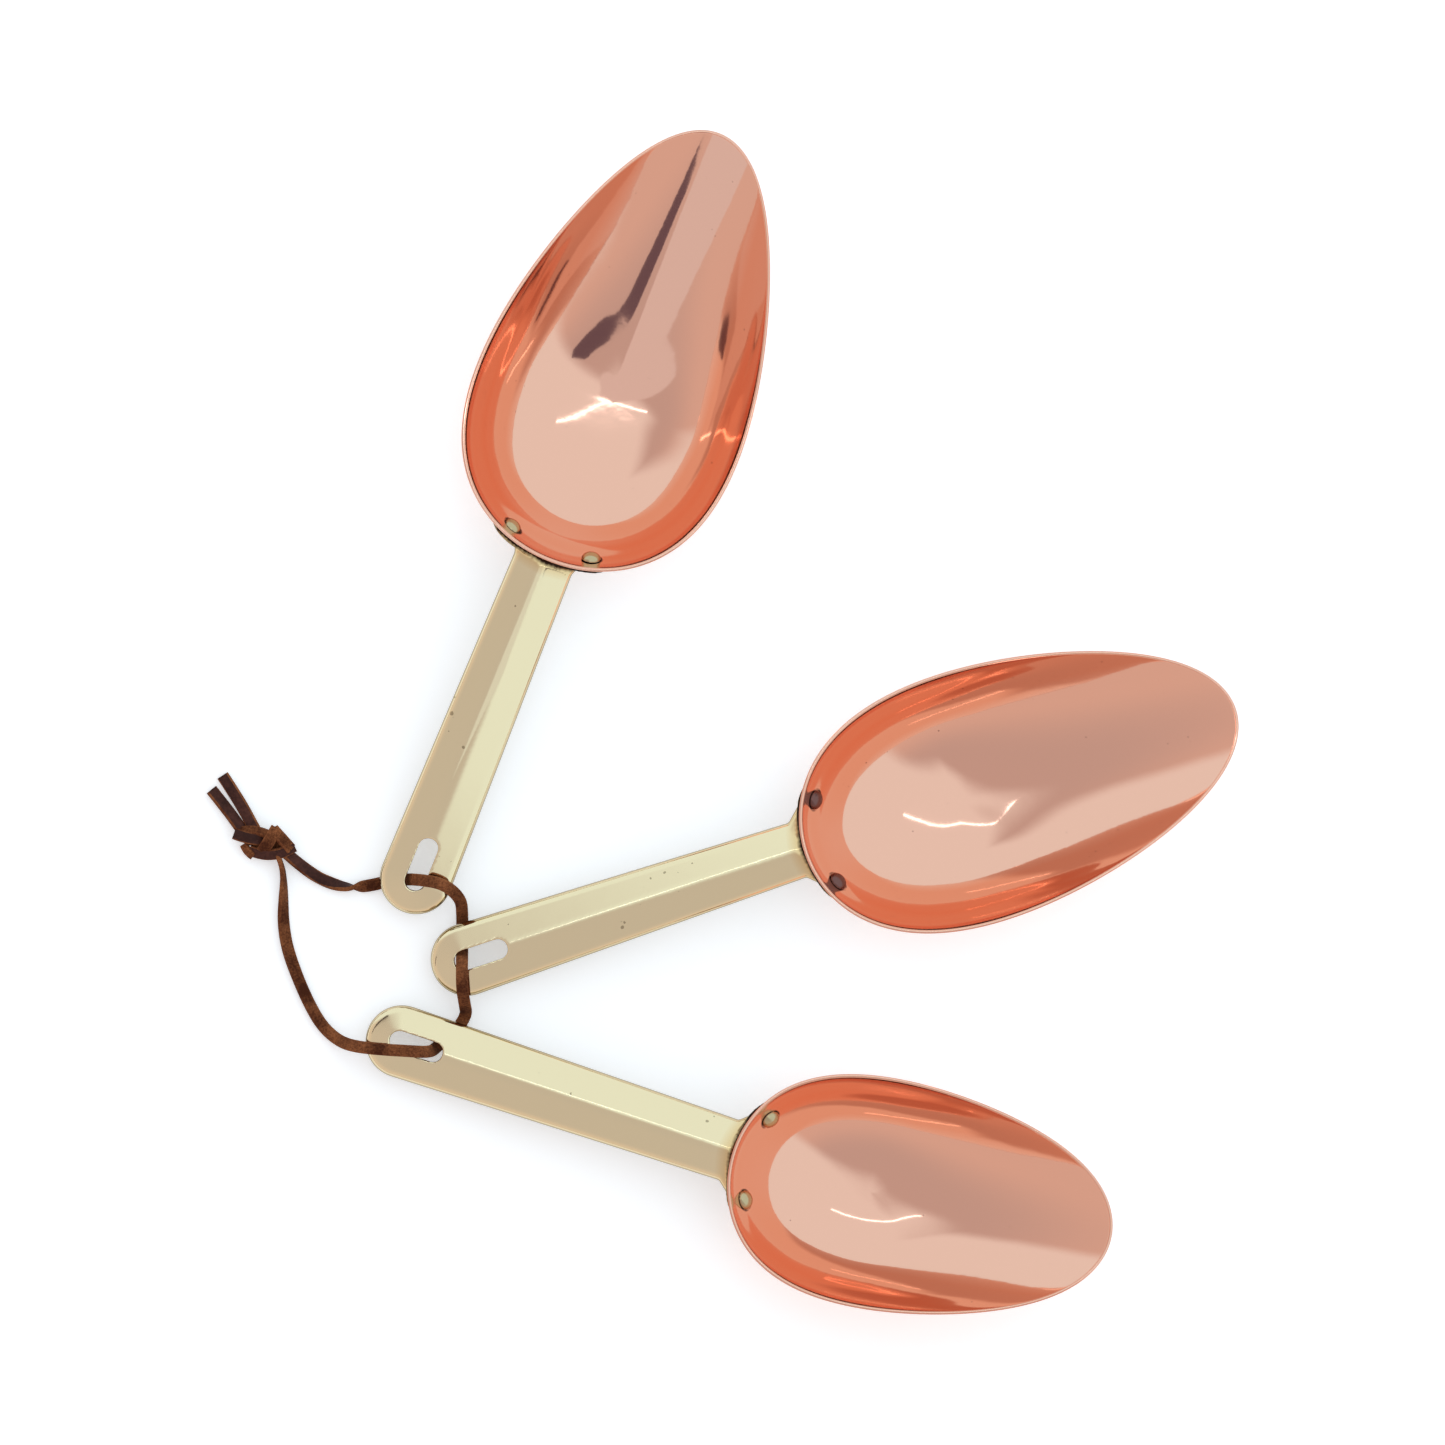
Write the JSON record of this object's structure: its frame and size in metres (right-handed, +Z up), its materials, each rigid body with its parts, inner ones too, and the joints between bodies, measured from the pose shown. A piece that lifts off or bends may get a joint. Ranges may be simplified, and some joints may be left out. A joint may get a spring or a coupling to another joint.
{
  "type": "measuring cup set",
  "caption": "Round-bottomed copper measuring scoops with riveted slotted brass handles, threaded on a knotted flat lace.",
  "frame": {"origin": "middle of the base of the laid-out set, on the surface that it lies on", "axes": "+Z up; +Y towards the tip of the large scoop; +X to the right, where the medium and small scoops point"},
  "size_m": [0.313, 0.3597, 0.0408],
  "materials": {
    "copper": "polished copper sheet",
    "brass": "polished pale brass sheet",
    "rivet_brass": "aged brass",
    "rivet_copper": "oxidised copper",
    "suede": "dark brown suede"
  },
  "bodies": {
    "lace": {"lace_loop": "suede", "lace_knot": "suede", "lace_tail_long": "suede", "lace_tail_short": "suede"},
    "large_scoop": {"large_bowl": "copper", "large_handle": "brass", "large_rivet_left": "rivet_brass", "large_rivet_right": "rivet_brass"},
    "medium_scoop": {"medium_bowl": "copper", "medium_handle": "brass", "medium_rivet_left": "rivet_copper", "medium_rivet_right": "rivet_copper"},
    "small_scoop": {"small_bowl": "copper", "small_handle": "brass", "small_rivet_left": "rivet_brass", "small_rivet_right": "rivet_brass"}
  },
  "joints": [
    {"name": "large_scoop_swing", "type": "hinge", "parent": "lace", "child": "large_scoop", "pos_m": [-0.1166, -0.0478, 0.012], "axis": [0, 0, 1], "range_deg": [-9, 45]},
    {"name": "medium_scoop_swing", "type": "hinge", "parent": "lace", "child": "medium_scoop", "pos_m": [-0.1019, -0.0724, 0.012], "axis": [0, 0, 1], "range_deg": [-5, 6]},
    {"name": "small_scoop_swing", "type": "hinge", "parent": "lace", "child": "small_scoop", "pos_m": [-0.1116, -0.1001, 0.012], "axis": [0, 0, 1], "range_deg": [-45, 4]}
  ]
}
